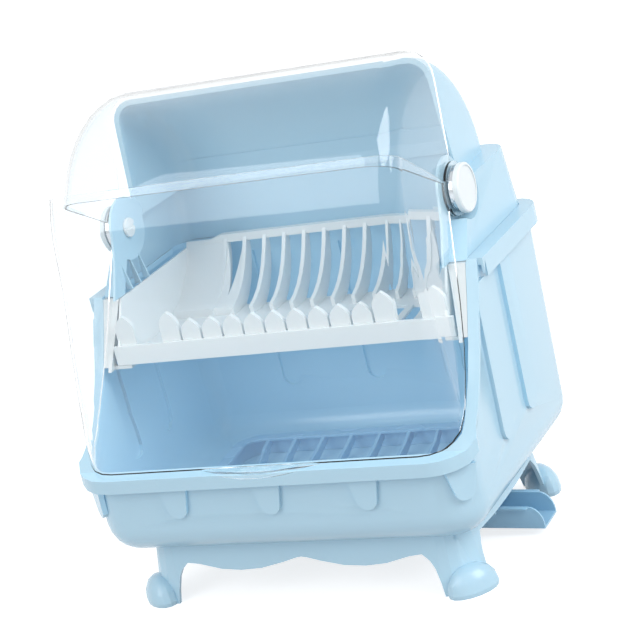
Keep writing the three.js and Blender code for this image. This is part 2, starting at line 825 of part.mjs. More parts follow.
// A post behind the lip, with a pointed crown.
function rackPost(x, height) {
  const foot = rackFloorTop - rackFloorThickness / 2;
  const top = rackFloorTop + height;
  const back = rackLipFront + rackLipThickness;
  const half = postWidth / 2;
  const crown = (side) => curve([[x + side, top - postCrown], [x + side, top - postCrown / 2], [x, top]]);
  const outline = [[x - half, foot], [x + half, foot], ...crown(half), ...crown(-half).reverse().slice(1)];
  return prismY(outline, back - seatGap, back + postThickness);
}

function rackPosts() {
  const between = Array.from({ length: tineCount - 1 }, (_, i) => {
    const last = i === 0 || i === tineCount - 2;
    return rackPost(tineX(i) + tinePitch / 2, last ? tallPostHeight : postHeight);
  });
  const pads = [-1, 1].map((side) => rackPost(side * (rackHalfWidth - endPadInset), tallPostHeight));
  return [...between, ...pads];
}

function rackWing() {
  const outline = [
    [rackLipFront, rackFloorBottom],
    [rackLipFront + rackFloorDepth, rackFloorBottom],
    [rackBack, rackWingTop - rackRailHeight],
    [rackBack, rackWingTop],
    [openingY(rackWingTop), rackWingTop],
    [rackLipFront, rackLipBottom + rackLipHeight],
  ];
  const wing = prismX(outline, rackWingOuter - rackWall, rackWingOuter);
  return [wing, mirrorX(wing)];
}

// How far out the rail stays level, and where it has fallen to the wings' top: shares of their half width.
const railFlatShare = 0.75;
const railFallShare = 0.93;

function rackRail() {
  const flat = rackWingOuter * railFlatShare;
  const fall = rackWingOuter * railFallShare;
  const end = rackWingOuter - rackWall / 2;
  const upper = [[end, rackWingTop], [fall, rackWingTop], [flat, rackRailTop]];
  const top = [...upper, ...upper.slice().reverse().map((p) => [-p[0], p[1]])];
  const bottom = top.slice().reverse().map((p) => [p[0], p[1] - rackRailHeight]);
  return prismY([...top, ...bottom], rackBack - rackRailDepth, rackBack);
}

function plateRack() {
  const floorBack = rackLipFront + rackFloorDepth;
  const floor = block(
    -rackHalfWidth, rackHalfWidth, rackLipFront + rackLipThickness / 2, floorBack,
    rackFloorBottom, rackFloorTop,
  );
  const lip = block(
    -rackHalfWidth, rackHalfWidth,
    rackLipFront, rackLipFront + rackLipThickness,
    rackLipBottom, rackLipBottom + rackLipHeight,
  );
  const flange = block(
    rackHalfWidth - rackWall, rackHalfWidth + rackFlangeReach,
    rackLipFront + rackFlangeSetback, floorBack,
    rackFloorBottom, rackFloorTop,
  );
  const tines = Array.from({ length: tineCount }, (_, i) => prismX(
    tineOutline(), tineX(i) - tineThickness / 2, tineX(i) + tineThickness / 2,
  ));
  const notch = tineX(tineCount - 1) - tinePitch / 2;
  const notchHalf = (tinePitch - tineThickness) / 2;
  const notchTop = rackRailTop - rackRailHeight;
  const panel = cut(
    prismX(panelOutline(), tineX(tineCount - 2), rackWingOuter - rackWall / 2),
    prismY([
      [notch - notchHalf, notchTop], [notch + notchHalf, notchTop], [notch, notchTop - panelNotchDepth],
    ], tubFront, tubBack),
  );
  const slots = Array.from({ length: tineCount - 1 }, (_, i) => {
    const x = tineX(i) + tinePitch / 2;
    const y = tubFront + slotSetback;
    return block(
      x - slotWidth / 2, x + slotWidth / 2, y, y + slotLength,
      rackFloorBottom - overrun, rackFloorTop + overrun,
    );
  });
  const sides = [flange, mirrorX(flange), panel, mirrorX(panel)];
  return join(cut(floor, ...slots), lip, rackRail(), ...rackWing(), ...sides, ...tines, ...rackPosts());
}

// A fin's wavy top edge: shares of the rack's depth from its front, and of its height.
const finTopShares = [
  [0.04, 1], [0.16, 0.68], [0.31, 1], [0.51, 0.68], [0.72, 0.4], [0.84, 0.6], [0.96, 1],
];

function bowlRack() {
  const front = tubFront + bowlSetback;
  const back = front + bowlDepth;
  const top = bowlBottom + bowlHeight;
  const outline = (inset) => roundedRectangle(
    bowlHalfWidth - inset, front + inset, back - inset, Math.max(bowlCorner - inset, bowlWall),
  );
  const frame = cut(
    prismZ(outline(0), bowlBottom, top),
    prismZ(outline(bowlWall), bowlBottom - overrun, top - bowlWall),
    prismZ(outline(bowlFrame), bowlBottom - overrun, top + overrun),
  );
  const upper = finTopShares.map((s) => [front + s[0] * bowlDepth, bowlBottom + s[1] * bowlHeight]);
  const lower = upper.map((p) => [p[0], Math.max(p[1] - finDepth, bowlBottom)]).reverse();
  const fins = Array.from({ length: finCount }, (_, i) => {
    const x = (i - (finCount - 1) / 2) * finPitch;
    return prismX([...upper, ...lower], x - finThickness / 2, x + finThickness / 2);
  });
  return join(frame, ...fins);
}

// Half of a dome's profile about the hinge line: flat cheeks with a draft, and a round edge.
function domeProfile(radius, cheek, draft, corner) {
  const centreX = cheek - draft - corner;
  const edge = arc(radius - corner, centreX, corner, Math.PI / 2, 0, curveSteps);
  const half = [[0, cheek], [lobeRadius, cheek], ...edge];
  return [...half, ...half.slice().reverse().map((p) => [p[0], -p[1]])].reverse();
}

// The cheeks' side outline below the dome: the lobe round the hinge and the foot in front of it.
function hoodCheek(outset) {
  const foot = hoodBottom - (outset > 0 ? overrun : 0);
  return [
    [hoodCheekFront - outset, foot],
    [hoodCheekBack + outset, foot],
    [hoodCheekBack + outset, hingeHeight],
    [-lobeRadius, hingeHeight],
    [-lobeRadius - hoodCheekTopReach, hingeHeight - hoodCheekTopDrop],
  ].map((p, i) => (i > 2 ? [p[0] - outset, p[1]] : p));
}

// The wide foot's side outline, whose front edge runs behind the front lid's back edge.
function boxSide(inset) {
  const drop = lobeRadius * Math.SQRT1_2;
  return [
    [openingTop.x + boxFrontLag + inset, hoodBottom - (inset > 0 ? overrun : 0)],
    [inset - recessRadius / 2, hingeHeight - drop],
    [0, hingeHeight - drop / 2],
    [0, boxTop + overrun],
    [tubBack, boxTop + overrun],
    [tubBack, hoodBottom - (inset > 0 ? overrun : 0)],
  ];
}

function boxSolid(inset, below) {
  const top = boxTop - inset;
  const bottom = hoodBottom - below;
  const body = loft([bottom, top].map((z) => ({ z, points: boxOutline(z, inset) })));
  return body.intersect(prismX(boxSide(inset), -tubHalfWidth, tubHalfWidth));
}

function rearHood() {
  const reach = tubHalfWidth;
  const dome = revolve(domeProfile(domeRadius, hoodHalfWidth, hoodSideDraft, hoodCorner), revolveSteps);
  const inner = hoodCorner - hoodWall;
  const cheekInner = hoodHalfWidth - hoodWall;
  const hollow = revolve(domeProfile(domeRadius - hoodWall, cheekInner, hoodSideDraft, inner), revolveSteps);
  const thinner = revolve(
    domeProfile(domeRadius - hoodWall + hoodStep, cheekInner, hoodSideDraft, inner + hoodStep), revolveSteps,
  ).intersect(block(
    -reach, reach, hoodEdgeSetback + hoodEdgeDepth, tubBack,
    hingeHeight + hoodStepRise, hingeHeight + domeRadius,
  ));
  const upperZone = prismX([
    [hoodEdgeSetback, hingeHeight],
    [hoodEdgeSetback, hingeHeight + domeRadius + overrun],
    [tubBack, hingeHeight + domeRadius + overrun],
    [tubBack, hingeHeight],
  ], -reach, reach);
  const lobe = discX(lobeRadius, -hoodHalfWidth, hoodHalfWidth);
  const cheeks = prismX(hoodCheek(0), -hoodHalfWidth, hoodHalfWidth);
  const recess = discX(recessRadius, hoodHalfWidth, reach);
  const recessCore = discX(recessRadius + hoodWall, cheekInner, reach);
  const boxOuter = cut(boxSolid(0, 0), recess, mirrorX(recess));
  const boxInner = cut(boxSolid(hoodWall, overrun), recessCore, mirrorX(recessCore));
  const cheekHollow = join(
    prismX(hoodCheek(overrun), -cheekInner, cheekInner).intersect(prismX([
      [tubFront, 0], [boxBack - hoodWall, 0], [boxBack - hoodWall, hingeHeight + boxTopRise - hoodWall],
      [tubFront, hingeHeight + boxTopRise - hoodWall],
    ], -reach, reach)),
    discX(lobeRadius + overrun, -cheekInner, cheekInner),
  );
  const outer = join(dome.intersect(upperZone), lobe, cheeks, boxOuter);
  const shell = cut(outer, hollow, thinner, cheekHollow, boxInner);
  const thick = revolve(
    domeProfile(domeRadius - hoodEdge, hoodHalfWidth - hoodEdge, hoodSideDraft, hoodCorner - hoodEdge),
    revolveSteps,
  );
  const bead = cut(
    dome.intersect(prismX([
      [hoodEdgeSetback, hingeHeight + lobeRadius],
      [hoodEdgeSetback, hingeHeight + domeRadius + overrun],
      [hoodEdgeSetback + hoodEdgeDepth, hingeHeight + domeRadius + overrun],
      [hoodEdgeSetback + hoodEdgeDepth, hingeHeight + lobeRadius],
    ], -reach, reach)),
    thick,
  );
  const bore = discX(bushRadius + pinClearance, -hoodHalfWidth - overrun, hoodHalfWidth + overrun);
  const gussets = Array.from({ length: gussetCount }, (_, i) => {
    const y = hoodCheekFront + gussetInset + i * gussetSpacing;
    const web = [
      [cheekInner + hoodWall / 2, rimTop],
      [cheekInner + hoodWall / 2, rimTop + gussetHeight],
      [cheekInner, rimTop + gussetHeight],
      [cheekInner - gussetReach, rimTop],
    ];
    return prismY(web, y - gussetThickness / 2, y + gussetThickness / 2);
  });
  return cut(join(shell, bead, ...gussets, ...gussets.map(mirrorX)), bore);
}

function wedge(fromDegrees, toDegrees, reach) {
  const points = arc(0, hingeHeight, 2 * reach, Math.PI - THREE.MathUtils.degToRad(fromDegrees),
    Math.PI - THREE.MathUtils.degToRad(toDegrees), curveSteps);
  return prismX([[0, hingeHeight], ...points], -tubHalfWidth, tubHalfWidth);
}

function ears(radius, inner, outer) {
  const bore = discX(bushRadius + pinClearance, inner - overrun, outer + overrun);
  const ear = cut(discX(radius, inner, outer), bore);
  return [ear, mirrorX(ear)];
}

function upperLid() {
  const corner = hoodCorner + upperLidRise / 2;
  const outside = domeProfile(upperLidOuter, upperEarOuter, hoodSideDraft, corner + lidWall);
  const inside = domeProfile(upperLidOuter - lidWall, upperEarInner, hoodSideDraft, corner);
  const outer = revolve(outside, revolveSteps);
  const inner = revolve(inside, revolveSteps);
  const sector = wedge(splitDegrees - lapDegrees, upperLidEndDegrees, upperLidOuter);
  const shell = cut(outer, inner).intersect(sector);
  const bore = discX(bushRadius + pinClearance, -upperEarOuter - overrun, upperEarOuter + overrun);
  return cut(join(shell, ...ears(earRadius, upperEarInner, upperEarOuter)), bore);
}

// How far the front lid's sides have spread at shares of its height, from its foot to the hinge line.
const flareShares = [[0, 1], [0.2, 0.93], [0.44, 0.67], [0.72, 0.27], [0.88, 0], [1, 0], [2, 0]];

function between(table, share) {
  const i = Math.max(1, table.findIndex((row) => row[0] >= share));
  const [a, b] = [table[i - 1], table[i]];
  return a[1] + (b[1] - a[1]) * (Math.max(share, a[0]) - a[0]) / (b[0] - a[0]);
}

// The front lid's middle profile: from its foot up a soft belly, then round the hinge line to the split.
function frontLidProfile() {
  const foot = new THREE.Vector2(tubFront + frontLidFootInset, frontRimTop + lidEdgeGap);
  const hinge = new THREE.Vector2(0, hingeHeight);
  const span = foot.distanceTo(hinge);
  const footAngle = Math.atan2(foot.y - hinge.y, foot.x - hinge.x);
  const tangentAngle = footAngle - Math.acos(frontLidOuter / span);
  const outward = new THREE.Vector2(Math.cos(tangentAngle), Math.sin(tangentAngle));
  const tangent = hinge.clone().add(outward.multiplyScalar(frontLidOuter));
  const middle = foot.clone().add(tangent).multiplyScalar(1 / 2);
  const belly = curve([[foot.x, foot.y], [middle.x - frontLidBelly, middle.y], [tangent.x, tangent.y]]);
  const splitAngle = Math.PI - THREE.MathUtils.degToRad(splitDegrees);
  const start = tangentAngle < 0 ? tangentAngle + 2 * Math.PI : tangentAngle;
  const round = arc(0, hingeHeight, frontLidOuter, start, splitAngle, curveSteps);
  return [...belly, ...round.slice(1)];
}

function frontLidBody(inset, extra) {
  const profile = frontLidProfile();
  const foot = profile[0][1];
  const height = hingeHeight - foot;
  const levels = profile.map((p) => {
    const share = (p[1] - foot) / height;
    const spread = between(flareShares, share);
    const half = frontLidHalfWidth + (frontLidFootHalfWidth - frontLidHalfWidth) * spread - inset;
    const corner = lidCorner + (frontLidFootCorner - lidCorner) * Math.max(0, 1 - share) - inset;
    return { z: p[1], points: roundedRectangle(half, p[0] + inset, tubBack, corner) };
  });
  const first = levels[0];
  const last = levels[levels.length - 1];
  const below = { z: first.z - extra, points: first.points };
  const above = { z: last.z + overrun + extra, points: last.points };
  return loft([below, ...levels, above]);
}

function frontLid() {
  const line = openingLine(-lidEdgeGap, -lidEdgeGap, lidCornerEase);
  const knee = new THREE.Vector2(...line[line.length - 2]);
  const top = new THREE.Vector2(...line[line.length - 1]);
  const ear = knee.clone().lerp(top, (hingeHeight - earRadius / 2 - knee.y) / (top.y - knee.y));
  const reach = 2 * frontLidOuter;
  const split = Math.PI - THREE.MathUtils.degToRad(splitDegrees);
  const zone = prismX([
    [tubFront - tabReach - overrun, line[0][1]],
    ...line.slice(0, -1),
    [ear.x, ear.y],
    [0, hingeHeight],
    [reach * Math.cos(split), hingeHeight + reach * Math.sin(split)],
    [tubFront - 2 * frontLidOuter, hingeHeight],
  ], -tubHalfWidth, tubHalfWidth);
  const shell = cut(frontLidBody(0, 0), frontLidBody(lidWall, overrun)).intersect(zone);
  const bore = discX(bushRadius + pinClearance, -tubHalfWidth, tubHalfWidth);
  return cut(join(shell, ...ears(earRadius, frontEarInner, frontLidHalfWidth), pullTab()), bore);
}

// The pull tab: a lens-shaped lip at the front lid's foot, its edge turned down most in the middle.
function pullTab() {
  const y = tubFront + frontLidFootInset + lidWall / 2;
  const front = tubFront - tabReach;
  const half = tabWidth / 2;
  const z = frontRimTop + lidEdgeGap;
  const lens = (inset) => new THREE.QuadraticBezierCurve(
    new THREE.Vector2(-half + inset, y),
    new THREE.Vector2(0, 2 * (front + inset) - y),
    new THREE.Vector2(half - inset, y),
  ).getPoints(2 * curveSteps).map((p) => [p.x, p.y]);
  const under = new THREE.QuadraticBezierCurve(
    new THREE.Vector2(-half, z), new THREE.Vector2(0, z - 2 * tabDrop), new THREE.Vector2(half, z),
  ).getPoints(2 * curveSteps).map((p) => [p.x, p.y]);
  const lip = prismZ(lens(0), z - tabDrop, z + lidWall);
  const shape = prismY([...under, [half, z + lidWall], [-half, z + lidWall]], front - overrun, tubBack);
  return cut(
    lip.intersect(shape),
    prismZ(lens(lidWall), z - tabDrop - overrun, z),
    block(-half, half, tubFront - runGap, tubBack, z - tabDrop - overrun, z),
  );
}

function hingeBush() {
  const inner = hoodHalfWidth - hoodWall - seatGap;
  const outer = capInner - seatGap;
  return cut(discX(bushRadius, inner + seatGap, outer), discX(bushBore, inner - overrun, outer + overrun));
}

function hingeScrew() {
  const headOuter = hoodHalfWidth - hoodWall - seatGap;
  const headInner = headOuter - screwHeadThickness;
  const slot = block(
    headInner - overrun, headInner + screwSlotDepth, -2 * screwHeadRadius, 2 * screwHeadRadius,
    hingeHeight - screwSlotWidth / 2, hingeHeight + screwSlotWidth / 2,
  );
  const head = cut(discX(screwHeadRadius, headInner, headOuter), slot);
  return join(head, discX(screwRadius, headOuter - screwSlotDepth / 2, capInner + screwBite));
}

function hingeRing() {
  return cut(
    discX(ringRadius, ringInner, ringInner + ringThickness),
    discX(bushRadius + pinClearance, ringInner - overrun, ringInner + ringThickness + overrun),
  );
}

function hingeCap() {
  const outer = capInner + capThickness;
  const bore = screwRadius + pinClearance;
  const face = revolve([
    [0, capInner], [capRadius, capInner], [capRadius, outer - capRecess],
    [capRadius - capRecess, outer], [capRadius - capRimWidth, outer],
    [capRadius - capRimWidth, outer - capRecess], [0, outer - capRecess],
  ], discSteps);
  return cut(face, discX(bore, capInner - overrun, capInner + screwBite + pinClearance));
}

function mirrorX(solid) {
  return toSolid(toGeometry(solid).scale(-1, 1, 1));
}

function mirrorY(solid) {
  return toSolid(toGeometry(solid).scale(1, -1, 1));
}

function moved(solid, x, y, z) {
  return toSolid(toGeometry(solid).translate(x, y, z));
}

function part(name, solid, finish) {
  const mesh = new THREE.Mesh(toGeometry(solid), new THREE.MeshStandardMaterial(finish));
  mesh.name = name;
  return mesh;
}

const group = new THREE.Group();
group.name = 'covered_dish_drainer';
// The origin lies under the middle of the part's depth, counted to the pull tab's front.
group.position.y = (tabReach - tubFront - tubBack) / 2;

const spout = part('drain_spout', drainSpout(), deepBlue);
spout.applyMatrix4(spoutFrame());
const pairs = [
  ['rack_bracket', rackBracket(), white],
  ['hinge_bush', hingeBush(), white],
  ['hinge_screw', hingeScrew(), white],
  ['hinge_ring', hingeRing(), chrome],
  ['hinge_cap', hingeCap(), white],
];
group.add(
  part('base_stand', baseStand(), paleBlue),
  spout,
  part('lower_tub', lowerTub(), paleBlue),
  part('bowl_rack', bowlRack(), deepBlue),
  part('plate_rack', plateRack(), white),
  part('rear_hood', rearHood(), paleBlue),
  part('upper_lid', upperLid(), clear),
  part('front_lid', frontLid(), clear),
  ...pairs.map(([name, solid, finish]) => part(`${name}_right`, solid, finish)),
  ...pairs.map(([name, solid, finish]) => part(`${name}_left`, mirrorX(solid), finish)),
);

export default group;
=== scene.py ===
"""Looks of a covered two-tier dish drainer: pale blue tub, stand and hood, white racks and clear flip lids.

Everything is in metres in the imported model's frame: +X to the drainer's right, +Y to its back, +Z up. Each
piece is a copy of its solid's own mesh with softened edges, so it has the solid's shape, place and size.
"""

import json
import logging
import math
from dataclasses import dataclass, field
from enum import Enum

import bmesh
import bpy
import numpy as np
from mathutils import Matrix, Vector

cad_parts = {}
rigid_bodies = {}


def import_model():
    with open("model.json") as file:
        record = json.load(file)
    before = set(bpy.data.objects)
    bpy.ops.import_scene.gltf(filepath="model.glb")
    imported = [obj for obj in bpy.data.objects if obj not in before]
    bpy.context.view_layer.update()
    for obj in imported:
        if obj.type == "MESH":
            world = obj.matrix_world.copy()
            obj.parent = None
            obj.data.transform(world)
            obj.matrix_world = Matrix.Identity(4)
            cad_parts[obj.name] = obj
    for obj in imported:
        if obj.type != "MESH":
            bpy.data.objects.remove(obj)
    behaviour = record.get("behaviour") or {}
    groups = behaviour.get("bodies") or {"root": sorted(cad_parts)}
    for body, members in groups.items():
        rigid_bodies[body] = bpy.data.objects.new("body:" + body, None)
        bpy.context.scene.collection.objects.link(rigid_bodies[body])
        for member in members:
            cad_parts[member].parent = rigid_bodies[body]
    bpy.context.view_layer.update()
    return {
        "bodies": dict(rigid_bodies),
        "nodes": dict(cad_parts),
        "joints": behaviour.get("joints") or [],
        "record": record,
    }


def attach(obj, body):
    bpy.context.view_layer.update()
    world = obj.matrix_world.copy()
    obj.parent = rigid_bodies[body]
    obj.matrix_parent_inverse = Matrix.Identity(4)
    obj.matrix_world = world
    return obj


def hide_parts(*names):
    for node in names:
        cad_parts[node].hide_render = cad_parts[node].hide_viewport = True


LOG = logging.getLogger("drainer")
MM = 0.001
SIDES = ("left", "right")

Colour = tuple[float, float, float, float]
Tint = tuple[int, int, int]
Point = tuple[float, float, float]


def linear(red: float, green: float, blue: float) -> Colour:
    """Turns a display colour of 0 to 255 into a linear colour.

    Formula: a share up to 0.04045 is divided by 12.92; a larger one has 0.055 added, is divided by 1.055
    and is raised to the power 2.4.

    Args:
        red: The red share, 0 to 255.
        green: The green share, 0 to 255.
        blue: The blue share, 0 to 255.

    Returns:
        The linear red, green and blue with an alpha of 1.
    """
    shares = np.array([red, green, blue]) / 255.0
    low = shares / 12.92
    high = ((shares + 0.055) / 1.055) ** 2.4
    mixed = np.where(shares <= 0.04045, low, high)
    return float(mixed[0]), float(mixed[1]), float(mixed[2]), 1.0


class Shade(Enum):
    """The moulded plastics of the drainer, as display colours."""

    PALE_BLUE = (182, 214, 231)
    DEEP_BLUE = (160, 202, 229)
    WHITE = (232, 237, 239)
    CLIP_WHITE = (216, 221, 223)


class Ray(Enum):
    """The kinds of light ray that a finish tells apart, by the names of their Light Path outputs."""

    CAMERA = "Is Camera Ray"
    GLOSSY = "Is Glossy Ray"
    TRANSMISSION = "Is Transmission Ray"
    SHADOW = "Is Shadow Ray"
    DIFFUSE = "Is Diffuse Ray"


class Nodes:
    """A thin helper that adds and joins the shader nodes of one material or world."""

    # The share, the two colours and the result among a colour mix's sockets.
    SHARE, FIRST, SECOND, RESULT = 0, 6, 7, 2
    # The middle range of a noise's output.
    NOISE_LOW, NOISE_HIGH = 0.3, 0.7

    def __init__(self, owner: bpy.types.ID) -> None:
        """Starts an empty node tree.

        Args:
            owner: The material or world that the nodes belong to.
        """
        owner.use_nodes = True
        self.tree = owner.node_tree
        self.tree.nodes.clear()

    def add(self, kind: str, **values: object) -> bpy.types.Node:
        """Adds a node and sets its input sockets by name.

        Args:
            kind: The node's type name.
            **values: Socket names, with spaces as underscores, and their values.

        Returns:
            The new node.
        """
        node = self.tree.nodes.new(kind)
        for key, value in values.items():
            node.inputs[key.replace("_", " ")].default_value = value
        return node

    def join(self, source: bpy.types.NodeSocket, target: bpy.types.NodeSocket) -> None:
        """Links one socket to another."""
        self.tree.links.new(source, target)

    def noise(self, scale: float, detail: float) -> bpy.types.NodeSocket:
        """Adds a noise on object coordinates.

        Args:
            scale: Cells per metre.
            detail: Octaves.

        Returns:
            The noise's value.
        """
        place = self.add("ShaderNodeTexCoord")
        noise = self.add("ShaderNodeTexNoise", Scale=scale, Detail=detail)
        self.join(place.outputs["Object"], noise.inputs["Vector"])
        return noise.outputs["Fac"]

    def spread(self, source: bpy.types.NodeSocket, low: float, high: float) -> bpy.types.NodeSocket:
        """Maps a noise's middle range onto a range of values.

        Args:
            source: The noise's value.
            low: The value at the low end of the middle range.
            high: The value at its high end.

        Returns:
            The mapped value.
        """
        ramp = self.add(
            "ShaderNodeMapRange", From_Min=self.NOISE_LOW, From_Max=self.NOISE_HIGH, To_Min=low, To_Max=high
        )
        self.join(source, ramp.inputs["Value"])
        return ramp.outputs["Result"]

    def tone(self, share: bpy.types.NodeSocket, first: Colour, second: Colour) -> bpy.types.NodeSocket:
        """Mixes two colours.

        Args:
            share: The second colour's share, 0 to 1.
            first: The colour where the share is 0.
            second: The colour where the share is 1.

        Returns:
            The mixed colour.
        """
        mix = self.add("ShaderNodeMix")
        mix.data_type = "RGBA"
        mix.inputs[self.FIRST].default_value = first
        mix.inputs[self.SECOND].default_value = second
        self.join(share, mix.inputs[self.SHARE])
        return mix.outputs[self.RESULT]

    def rays(self, *kinds: Ray) -> bpy.types.NodeSocket:
        """Tells some kinds of light ray from the rest: the largest of their Light Path outputs.

        Args:
            *kinds: Two or more kinds of ray.

        Returns:
            A value that is 1 for these rays and 0 for others.
        """
        path = self.add("ShaderNodeLightPath")
        found = path.outputs[kinds[0].value]
        for kind in kinds[1:]:
            largest = self.add("ShaderNodeMath")
            largest.operation = "MAXIMUM"
            self.join(found, largest.inputs[0])
            self.join(path.outputs[kind.value], largest.inputs[1])
            found = largest.outputs[0]
        return found

    def choose(
        self, share: bpy.types.NodeSocket, first: bpy.types.NodeSocket, second: bpy.types.NodeSocket
    ) -> bpy.types.NodeSocket:
        """Mixes two shaders.

        Args:
            share: The second shader's share, 0 to 1.
            first: The shader where the share is 0.
            second: The shader where the share is 1.

        Returns:
            The mixed shader.
        """
        mix = self.add("ShaderNodeMixShader")
        for source, target in zip((share, first, second), mix.inputs):
            self.join(source, target)
        return mix.outputs[0]

    def end(self, shader: bpy.types.NodeSocket, kind: str = "ShaderNodeOutputMaterial") -> None:
        """Links a shader to the output node.

        Args:
            shader: The finished shader.
            kind: The output node's type name.
        """
        self.join(shader, self.add(kind).inputs["Surface"])


@dataclass(frozen=True)
class MouldedPlastic:
    """Glossy injection-moulded plastic: a little milky and mottled, with a painted glow on its inner walls.

    The coat is the skin that the mould's polish leaves. The mottle darkens the colour by up to its share,
    and the roughness drifts between drift_below under and drift_above over its value. glow, glow_reach and
    glow_depth say how light spreads under the skin. Faces marked 1 by the "inner" attribute get a painted
    glow: they emit light of their own, whose strength and colour are set below, in place of daylight
    shining through the walls from behind.
    """

    name: str
    shade: Shade
    roughness: float
    glow: float = 0.06
    # Strength of the painted glow: light emitted by the inner walls in place of light through them.
    painted_inner_glow: float = 0.0
    mottle: float = 0.02
    mottle_scale: float = 9.0
    mottle_detail: float = 3.0
    drift_below: float = 0.01
    drift_above: float = 0.02
    drift_scale: float = 14.0
    drift_detail: float = 1.0
    coat: float = 0.12
    coat_roughness: float = 0.12
    glow_reach: Point = (0.35, 0.72, 1.0)
    glow_depth: float = 0.012
    painted_glow_colour: Colour = (0.18, 0.55, 0.84, 1.0)
    ior: float = 1.5

    def make(self) -> bpy.types.Material:
        """Builds the material.

        Returns:
            The new material.
        """
        material = bpy.data.materials.new(self.name)
        nodes = Nodes(material)
        colour = linear(*self.shade.value)
        dark = tuple(share * (1.0 - self.mottle) for share in colour[:3]) + (1.0,)
        shader = nodes.add(
            "ShaderNodeBsdfPrincipled",
            IOR=self.ior,
            Coat_Weight=self.coat,
            Coat_Roughness=self.coat_roughness,
            Subsurface_Weight=self.glow,
            Subsurface_Radius=self.glow_reach,
            Subsurface_Scale=self.glow_depth,
        )
        mottled = nodes.tone(nodes.noise(self.mottle_scale, self.mottle_detail), dark, colour)
        nodes.join(mottled, shader.inputs["Base Color"])
        drift = nodes.spread(
            nodes.noise(self.drift_scale, self.drift_detail),
            self.roughness - self.drift_below,
            self.roughness + self.drift_above,
        )
        nodes.join(drift, shader.inputs["Roughness"])
        # Painted glow: the inner faces emit light of their own, though no lamp is there, in place of daylight
        # through the walls.
        if self.painted_inner_glow > 0:
            shader.inputs["Emission Color"].default_value = self.painted_glow_colour
            inner = nodes.add("ShaderNodeAttribute")
            inner.attribute_name = Moulding.INNER
            through = nodes.add("ShaderNodeMapRange", To_Min=0.0, To_Max=self.painted_inner_glow)
            nodes.join(inner.outputs["Fac"], through.inputs["Value"])
            nodes.join(through.outputs["Result"], shader.inputs["Emission Strength"])
        nodes.end(shader.outputs["BSDF"])
        return material


@dataclass(frozen=True)
class BrightMetal:
    """Chrome plating, whose roughness drifts with the fine haze of polishing."""

    name: str
    tint: Tint = (206, 210, 214)
    roughness: float = 0.1
    haze_below: float = 0.03
    haze_above: float = 0.05
    haze_scale: float = 160.0
    haze_detail: float = 3.0

    def make(self) -> bpy.types.Material:
        """Builds the material.

        Returns:
            The new material.
        """
        material = bpy.data.materials.new(self.name)
        nodes = Nodes(material)
        shader = nodes.add("ShaderNodeBsdfPrincipled", Metallic=1.0, Base_Color=linear(*self.tint))
        haze = nodes.spread(
            nodes.noise(self.haze_scale, self.haze_detail),
            self.roughness - self.haze_below,
            self.roughness + self.haze_above,
        )
        nodes.join(haze, shader.inputs["Roughness"])
        nodes.end(shader.outputs["BSDF"])
        return material


@dataclass(frozen=True)
class ClearPlastic:
    """Clear polystyrene: glass to the eye, and a plain pass-through for shadows and soft light.

    Seen square on it has the tint, and from edge_start of the way to a grazing look on it turns to the
    darker edge tint, a painted shade that makes its outlines show. A faint slow ripple bends its reflections.
    """

    name: str
    tint: Tint = (252, 254, 255)
    painted_outline_shade: Tint = (168, 182, 188)
    edge_start: float = 0.72
    facing_blend: float = 0.5
    roughness: float = 0.02
    specular: float = 0.3
    ior: float = 1.45
    ripple_scale: float = 14.0
    ripple_detail: float = 2.0
    ripple_strength: float = 0.12
    ripple_height: float = 0.6 * MM
    pass_tint: Tint = (254, 255, 255)

    def make(self) -> bpy.types.Material:
        """Builds the material.

        Returns:
            The new material.
        """
        material = bpy.data.materials.new(self.name)
        nodes = Nodes(material)
        shader = nodes.add(
            "ShaderNodeBsdfPrincipled",
            IOR=self.ior,
            Roughness=self.roughness,
            Transmission_Weight=1.0,
            Specular_IOR_Level=self.specular,
        )
        # Painted shade: towards a grazing look the colour turns to a darker grey, so the outlines show.
        facing = nodes.add("ShaderNodeLayerWeight", Blend=self.facing_blend)
        edge = nodes.add("ShaderNodeMapRange", From_Min=self.edge_start, From_Max=1.0, To_Min=0.0, To_Max=1.0)
        nodes.join(facing.outputs["Facing"], edge.inputs["Value"])
        tone = nodes.tone(edge.outputs["Result"], linear(*self.tint), linear(*self.painted_outline_shade))
        nodes.join(tone, shader.inputs["Base Color"])
        bump = nodes.add("ShaderNodeBump", Strength=self.ripple_strength, Distance=self.ripple_height)
        nodes.join(nodes.noise(self.ripple_scale, self.ripple_detail), bump.inputs["Height"])
        nodes.join(bump.outputs["Normal"], shader.inputs["Normal"])
        clear = nodes.add("ShaderNodeBsdfTransparent", Color=linear(*self.pass_tint))
        soft = nodes.rays(Ray.SHADOW, Ray.DIFFUSE)
        nodes.end(nodes.choose(soft, shader.outputs["BSDF"], clear.outputs["BSDF"]))
        return material


@dataclass(frozen=True)
class StudioFloor:
    """A matt pale floor that keeps the drainer's shadow.

    A little light of its own, which only the eye, glass and gloss see, makes it read as white.
    """

    name: str = "studio_floor"
    paint: Colour = (0.52, 0.53, 0.54, 1.0)
    lift_colour: Colour = (1.0, 1.0, 1.0, 1.0)
    lift: float = 0.75

    def make(self) -> bpy.types.Material:
        """Builds the material.

        Returns:
            The new material.
        """
        material = bpy.data.materials.new(self.name)
        nodes = Nodes(material)
        paint = nodes.add("ShaderNodeBsdfDiffuse", Color=self.paint)
        lift = nodes.add("ShaderNodeEmission", Color=self.lift_colour)
        strength = nodes.add("ShaderNodeMath")
        strength.operation = "MULTIPLY"
        strength.inputs[1].default_value = self.lift
        nodes.join(nodes.rays(Ray.CAMERA, Ray.GLOSSY, Ray.TRANSMISSION), strength.inputs[0])
        nodes.join(strength.outputs[0], lift.inputs["Strength"])
        both = nodes.add("ShaderNodeAddShader")
        nodes.join(paint.outputs["BSDF"], both.inputs[0])
        nodes.join(lift.outputs["Emission"], both.inputs[1])
        nodes.end(both.outputs[0])
        return material


